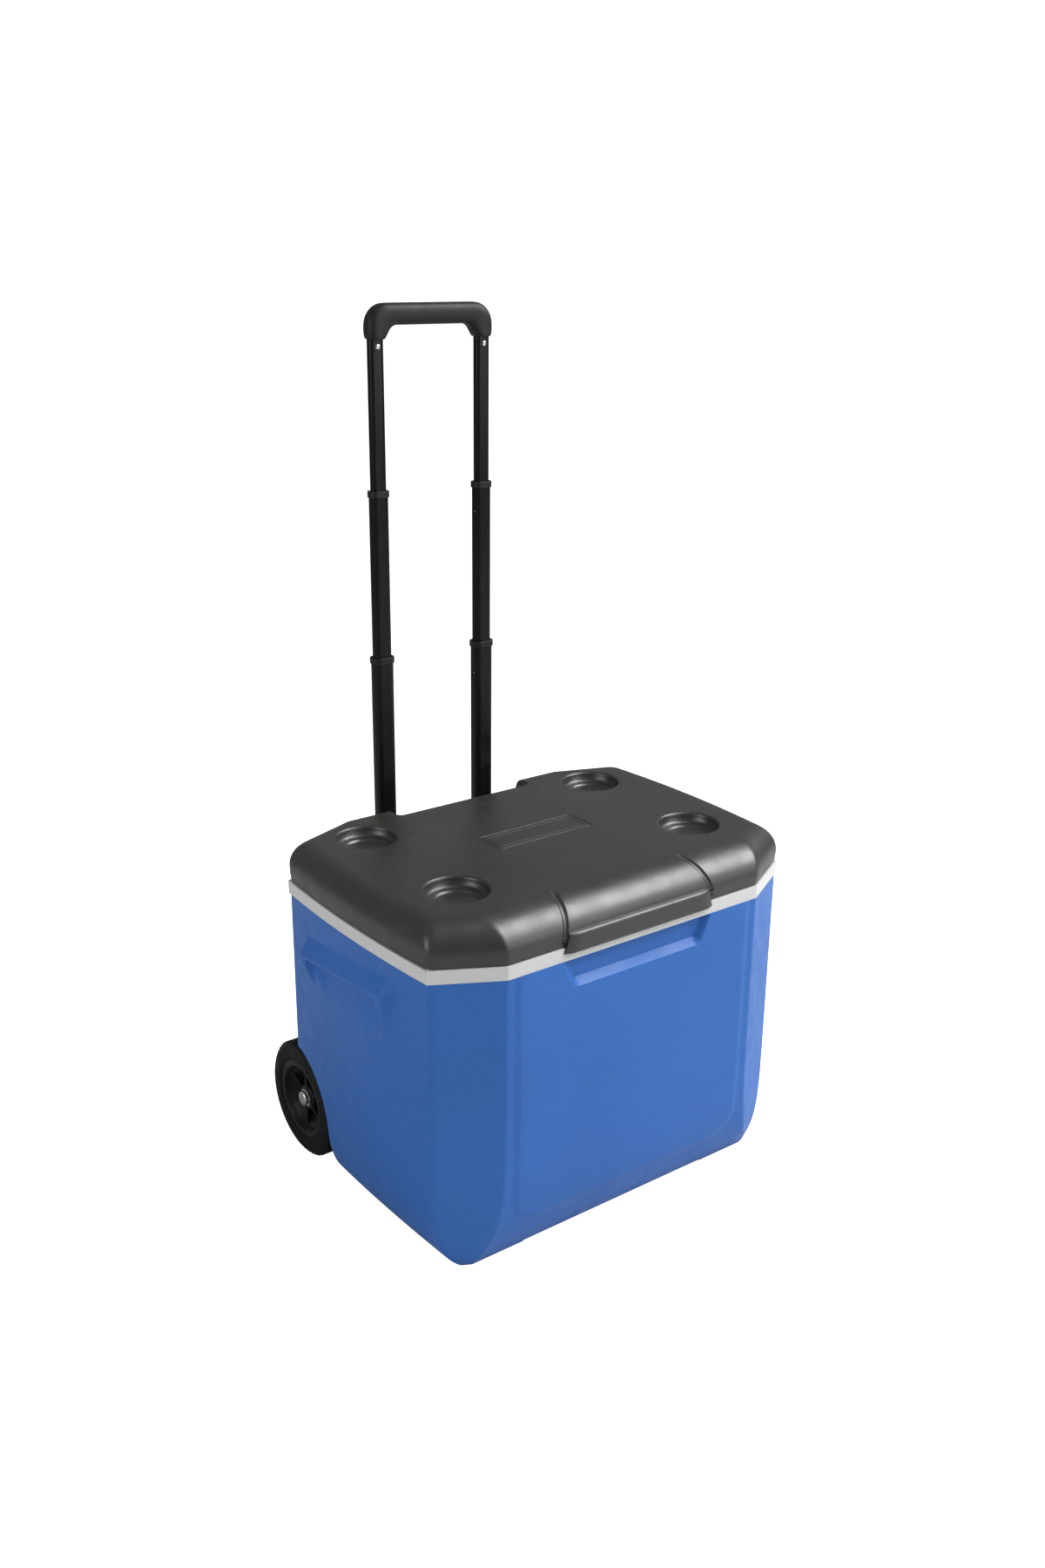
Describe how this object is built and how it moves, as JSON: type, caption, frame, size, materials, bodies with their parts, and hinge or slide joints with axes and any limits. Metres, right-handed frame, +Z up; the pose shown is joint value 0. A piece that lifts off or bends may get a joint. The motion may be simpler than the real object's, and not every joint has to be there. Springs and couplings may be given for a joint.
{
  "type": "wheeled cooler box",
  "caption": "Insulated cooler box with a hinged lid with cup holders, rear wheels and a telescopic pull handle",
  "frame": {"origin": "on the ground, at the middle of the whole object's plan", "axes": "+Z up, X across the width, -Y towards the front with the lid's pull lip, +Y towards the wheels and the handle"},
  "size_m": [0.586, 0.4651, 1.1],
  "materials": {
    "shell_plastic": "satin",
    "white_plastic": "satin",
    "lid_plastic": "satin",
    "insulation": "matte",
    "black_plastic": "satin",
    "grip_plastic": "matte",
    "zinc_steel": "satin",
    "tube_metal": "gloss",
    "tyre": "matte",
    "wheel_plastic": "satin"
  },
  "bodies": {
    "cooler": {"body_shell": "shell_plastic", "foam_core": "insulation", "tub_liner": "white_plastic", "hinge_bracket_left": "black_plastic", "hinge_bracket_right": "black_plastic", "hinge_pin_left": "zinc_steel", "hinge_pin_right": "zinc_steel", "hinge_screws": "zinc_steel", "top_bracket": "black_plastic", "base_bracket": "black_plastic", "bracket_screws": "zinc_steel", "guide_tube_left": "tube_metal", "guide_tube_right": "tube_metal", "guide_collars": "black_plastic", "axle": "zinc_steel", "axle_bushes": "black_plastic", "inner_washers": "zinc_steel", "outer_washers": "zinc_steel", "axle_caps": "zinc_steel"},
    "lid": {"lid_cover": "lid_plastic", "lid_pan": "white_plastic", "lid_foam": "insulation", "hinge_leaf_left": "black_plastic", "hinge_leaf_right": "black_plastic"},
    "stage_1": {"stage_1_tube_left": "tube_metal", "stage_1_tube_right": "tube_metal", "stage_1_collars": "black_plastic", "stage_1_feet": "black_plastic"},
    "stage_2": {"stage_2_tube_left": "tube_metal", "stage_2_tube_right": "tube_metal", "stage_2_collars": "black_plastic", "stage_2_feet": "black_plastic"},
    "stage_3": {"stage_3_tube_left": "tube_metal", "stage_3_tube_right": "tube_metal", "stage_3_feet": "black_plastic", "handle_grip": "grip_plastic", "grip_rivets": "zinc_steel"},
    "wheel_left": {"tyre_left": "tyre", "wheel_hub_left": "wheel_plastic"},
    "wheel_right": {"tyre_right": "tyre", "wheel_hub_right": "wheel_plastic"},
    "button_1_left": {"stage_1_button_left": "zinc_steel"},
    "button_1_right": {"stage_1_button_right": "zinc_steel"},
    "button_2_left": {"stage_2_button_left": "zinc_steel"},
    "button_2_right": {"stage_2_button_right": "zinc_steel"},
    "button_3_left": {"stage_3_button_left": "zinc_steel"},
    "button_3_right": {"stage_3_button_right": "zinc_steel"}
  },
  "joints": [
    {"name": "lid_hinge", "type": "hinge", "parent": "cooler", "child": "lid", "pos_m": [0, 0.1622, 0.4121], "axis": [-1, 0, 0], "range_deg": [0, 84]},
    {"name": "stage_1_slide", "type": "slide", "parent": "cooler", "child": "stage_1", "axis": [0, 0, 1], "range_m": [-0.2565, 0]},
    {"name": "stage_2_slide", "type": "slide", "parent": "stage_1", "child": "stage_2", "axis": [0, 0, 1], "range_m": [-0.2105, 0]},
    {"name": "stage_3_slide", "type": "slide", "parent": "stage_2", "child": "stage_3", "axis": [0, 0, 1], "range_m": [-0.174, 0]},
    {"name": "wheel_left_spin", "type": "hinge", "parent": "cooler", "child": "wheel_left", "pos_m": [-0.25, 0.142, 0.08], "axis": [1, 0, 0], "continuous": true},
    {"name": "wheel_right_spin", "type": "hinge", "parent": "cooler", "child": "wheel_right", "pos_m": [0.25, 0.142, 0.08], "axis": [1, 0, 0], "continuous": true},
    {"name": "button_1_left_press", "type": "slide", "parent": "stage_1", "child": "button_1_left", "axis": [-1, 0, 0], "range_m": [0, 0.0015], "stiffness_N_per_m": 400, "springref_m": -0.001},
    {"name": "button_1_right_press", "type": "slide", "parent": "stage_1", "child": "button_1_right", "axis": [1, 0, 0], "range_m": [0, 0.0015], "stiffness_N_per_m": 400, "springref_m": -0.001},
    {"name": "button_2_left_press", "type": "slide", "parent": "stage_2", "child": "button_2_left", "axis": [-1, 0, 0], "range_m": [0, 0.0015], "stiffness_N_per_m": 400, "springref_m": -0.001},
    {"name": "button_2_right_press", "type": "slide", "parent": "stage_2", "child": "button_2_right", "axis": [1, 0, 0], "range_m": [0, 0.0015], "stiffness_N_per_m": 400, "springref_m": -0.001},
    {"name": "button_3_left_press", "type": "slide", "parent": "stage_3", "child": "button_3_left", "axis": [-1, 0, 0], "range_m": [0, 0.0015], "stiffness_N_per_m": 400, "springref_m": -0.001},
    {"name": "button_3_right_press", "type": "slide", "parent": "stage_3", "child": "button_3_right", "axis": [1, 0, 0], "range_m": [0, 0.0015], "stiffness_N_per_m": 400, "springref_m": -0.001}
  ]
}
